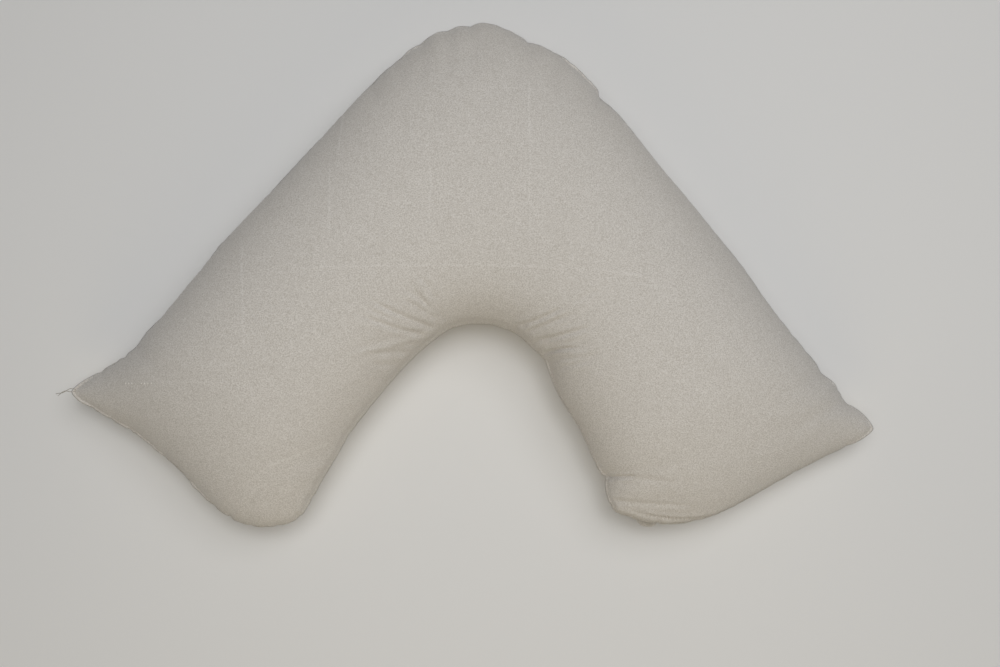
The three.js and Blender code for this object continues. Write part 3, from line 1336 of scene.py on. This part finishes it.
@dataclass
class Sewing:
    """The thread that shows: a bar across the seam's groove at each stitch, and a short row on the face."""

    seam: SeamLine
    finish: bpy.types.Material
    pitch: float = 0.0029
    radius: float = 0.00017
    reach: float = 0.0007
    depth: float = 0.0006
    slant: float = 0.35
    arch: float = 0.25
    tapers: tuple[tuple[float, float], ...] = ((0.45, 0.85), (0.3, 0.55))
    row_from: tuple[float, float] = (-0.389, -0.130)
    row_to: tuple[float, float] = (-0.354, -0.131)
    row_pitch: float = 0.0043
    row_left_out: tuple[int, ...] = (3, 4)
    row_stretch: tuple[float, float, float] = (1.6, 6.0, 1.5)

    def build(self, cover: bpy.types.Object) -> bpy.types.Object:
        """Makes one stitch and copies it all along the seam.

        Args:
            cover: The finished cover, on which the row on the face lies.

        Returns:
            The stitches as one piece.
        """
        model = self._one_stitch()
        copies = []
        for place in self._seam_places() + self._row_places(cover):
            copy = bpy.data.objects.new("stitch", model.data.copy())
            copy.data.transform(place)
            bpy.context.scene.collection.objects.link(copy)
            copies.append(copy)
        bpy.data.objects.remove(model)
        return join_pieces(copies, "stitches", self.finish)

    def _one_stitch(self) -> bpy.types.Object:
        """Models one stitch upright at the origin, thick in the middle and arched along +X.

        Returns:
            The stitch.
        """
        deselect_all()
        bpy.ops.mesh.primitive_cylinder_add(vertices=6, radius=self.radius, depth=self.reach * 0.5)
        stitch = bpy.context.view_layer.objects.active
        for direction in (1.0, -1.0):
            for step, scale in self.tapers:
                mesh = stitch.data
                for part in (*mesh.polygons, *mesh.edges, *mesh.vertices):
                    part.select = False
                max(mesh.polygons, key=lambda face: face.center.z * direction).select = True
                bpy.ops.object.mode_set(mode="EDIT")
                move = (-self.arch * self.radius, 0.0, direction * step * self.reach)
                bpy.ops.mesh.extrude_region_move(TRANSFORM_OT_translate={"value": move})
                bpy.ops.transform.resize(value=(scale, scale, 1.0))
                bpy.ops.object.mode_set(mode="OBJECT")
        deselect_all()
        return stitch

    def _seam_places(self) -> list[Matrix]:
        """Works out where each stitch of the seam goes.

        Returns:
            One matrix for each stitch.
        """
        found = []
        count = int(self.seam.length / self.pitch)
        for run in np.linspace(0.0, self.seam.length, count, endpoint=False):
            number = int(np.searchsorted(self.seam.run, run)) % len(self.seam.loop)
            out = Vector((*self.seam.outward[number], 0.0))
            along = Vector((-out.y, out.x, 0.0))
            up = Vector((0.0, 0.0, 1.0)) + along * self.slant
            place = Vector(self.seam.loop[number]) - out * self.depth
            found.append(self._frame(place, out, up.normalized()))
        return found

    def _row_places(self, cover: bpy.types.Object) -> list[Matrix]:
        """Works out where each stitch of the row on the face goes.

        Args:
            cover: The finished cover.

        Returns:
            One matrix for each stitch.
        """
        bare = BVHTree.FromObject(cover, bpy.context.evaluated_depsgraph_get())
        start, end = Vector((*self.row_from, 1.0)), Vector((*self.row_to, 1.0))
        count = int((end - start).length / self.row_pitch) + 1
        found = []
        for number in range(count):
            if number in self.row_left_out:
                continue
            hit = bare.ray_cast(start.lerp(end, number / (count - 1)), Vector((0.0, 0.0, -1.0)))
            stretch = Matrix.Diagonal((*self.row_stretch, 1.0))
            found.append(self._frame(hit[0], hit[1], (end - start).normalized()) @ stretch)
        return found

    def _frame(self, place: Vector, out: Vector, up: Vector) -> Matrix:
        """Turns a stitch's own directions to those of its place.

        Args:
            place: The stitch's middle.
            out: The way that it arches.
            up: The way that it is long.

        Returns:
            The matrix that puts it there.
        """
        beside = up.cross(out).normalized()
        outward = beside.cross(up).normalized()
        turned = Matrix((outward, beside, up)).transposed().to_4x4()
        return Matrix.Translation(place) @ turned


@dataclass
class ThreadTails:
    """Two loose thread ends where the sewing stops at the left tip."""

    finish: bpy.types.Material
    radius: float = 0.00036
    routes: tuple[tuple[tuple[float, float, float], ...], ...] = (
        (
            (-461.0, -134.8, 54.6),
            (-468.0, -134.3, 55.0),
            (-472.6, -136.9, 54.6),
            (-477.4, -139.0, 53.6),
            (-481.6, -139.2, 51.8),
            (-485.9, -139.9, 49.6),
        ),
        (
            (-461.0, -137.0, 53.8),
            (-468.5, -137.6, 54.1),
            (-472.8, -136.7, 55.4),
            (-476.6, -138.2, 55.0),
            (-480.2, -140.8, 53.2),
            (-483.0, -142.2, 50.8),
        ),
    )

    def build(self) -> bpy.types.Object:
        """Bends a round thread along each route.

        Returns:
            Both tails as one piece.
        """
        made = []
        for route in self.routes:
            deselect_all()
            bpy.ops.curve.primitive_bezier_curve_add(location=(0.0, 0.0, 0.0))
            curve = bpy.context.view_layer.objects.active
            spline = curve.data.splines[0]
            spline.bezier_points.add(len(route) - len(spline.bezier_points))
            for point, place in zip(spline.bezier_points, route):
                point.co = Vector(place) * MM
                point.handle_left_type = point.handle_right_type = "AUTO"
            curve.data.bevel_depth = self.radius
            curve.data.bevel_resolution = 2
            curve.data.resolution_u = 8
            curve.data.use_fill_caps = True
            bpy.ops.object.convert(target="MESH")
            made.append(bpy.context.view_layer.objects.active)
        return join_pieces(made, "thread_tails", self.finish)


@dataclass
class Studio:
    """The floor, the soft lights and the camera at the photo's angle to the face."""

    focal_px: float = 1194.0
    distance: float = 1.373
    elevation: float = math.radians(85.0)
    aim: tuple[float, float, float] = (0.032, -0.0715, 0.075)
    floor_size: float = 6.0
    floor_colour: tuple[float, float, float] = (0.82, 0.815, 0.80)
    floor_roughness: float = 0.9
    sky_colour: tuple[float, float, float] = (0.95, 0.95, 0.95)
    sky_strength: float = 0.125
    backdrop_strength: float = 0.5

    def build(self) -> None:
        """Makes the camera, the lights, the world and the floor."""
        self._camera()
        self._lights()
        self._sky()
        self._floor()
        bpy.context.scene.view_settings.view_transform = "Standard"

    def _camera(self) -> None:
        """Puts the camera over the face, leaning a little towards the two feet."""
        data = bpy.data.cameras.new("camera")
        data.sensor_width = SENSOR_MM
        data.lens = self.focal_px * SENSOR_MM / PHOTO_WIDTH_PX
        camera = bpy.data.objects.new("camera", data)
        back = Vector((0.0, -math.cos(self.elevation), math.sin(self.elevation)))
        camera.location = Vector(self.aim) + back * self.distance
        camera.rotation_mode = "QUATERNION"
        camera.rotation_quaternion = (-back).to_track_quat("-Z", "Y")
        bpy.context.scene.collection.objects.link(camera)
        bpy.context.scene.camera = camera

    def _lights(self) -> None:
        """Makes two large soft lights over the face and a warm one from the feet."""
        for lamp in LAMPS:
            data = bpy.data.lights.new(lamp.name, "AREA")
            data.shape = "DISK"
            data.size = lamp.size
            data.energy = lamp.power
            data.color = lamp.colour
            light = bpy.data.objects.new(lamp.name, data)
            light.location = lamp.place
            light.rotation_mode = "QUATERNION"
            light.rotation_quaternion = (-Vector(lamp.place)).to_track_quat("-Z", "Y")
            bpy.context.scene.collection.objects.link(light)

    def _sky(self) -> None:
        """Makes a dim even sky, which looks brighter to the camera itself."""
        world = bpy.data.worlds.new("studio")
        world.use_nodes = True
        tree = world.node_tree
        tree.nodes.clear()
        sky, backdrop = (
            add_node(tree, "ShaderNodeBackground", {}, [(*self.sky_colour, 1.0), strength])
            for strength in (self.sky_strength, self.backdrop_strength)
        )
        seen = add_node(tree, "ShaderNodeLightPath").outputs["Is Camera Ray"]
        mix = add_node(tree, "ShaderNodeMixShader", {}, [seen, sky.outputs[0], backdrop.outputs[0]])
        add_node(tree, "ShaderNodeOutputWorld", {}, {"Surface": mix.outputs[0]})
        bpy.context.scene.world = world

    def _floor(self) -> None:
        """Makes the plain pale floor."""
        half = self.floor_size / 2.0
        corners = np.array([(-half, -half, 0.0), (half, -half, 0.0), (half, half, 0.0), (-half, half, 0.0)])
        floor = new_piece("floor", corners, [(0, 1, 2, 3)])
        settings = {"Base Color": (*self.floor_colour, 1.0), "Roughness": self.floor_roughness}
        floor.data.materials.append(new_material("floor", settings)[0])


def dress(piece: bpy.types.Object, note: str) -> None:
    """Lets a piece ride on the part and reports it.

    Args:
        piece: The finished piece.
        note: What it is, for the log.
    """
    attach(piece, BODY)
    LOG.info("%s: %s, %d faces", piece.name, note, len(piece.data.polygons))


def main() -> None:
    """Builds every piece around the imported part."""
    logging.basicConfig(level=logging.INFO, format="%(message)s")
    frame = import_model()
    deselect_all()
    Studio().build()
    making = Cover(CottonFinish())
    cover = making.build(frame["nodes"][NODE])
    dress(cover, "two cotton panels, filled")
    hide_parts(NODE)
    dress(Sewing(making.seam, ThreadFinish().make()).build(cover), "stitches in the groove")
    grey = ThreadFinish("grey_thread", (0.46, 0.43, 0.375), (0.34, 0.315, 0.27))
    dress(ThreadTails(grey.make()).build(), "two loose thread ends")


if __name__ == "__main__":
    main()
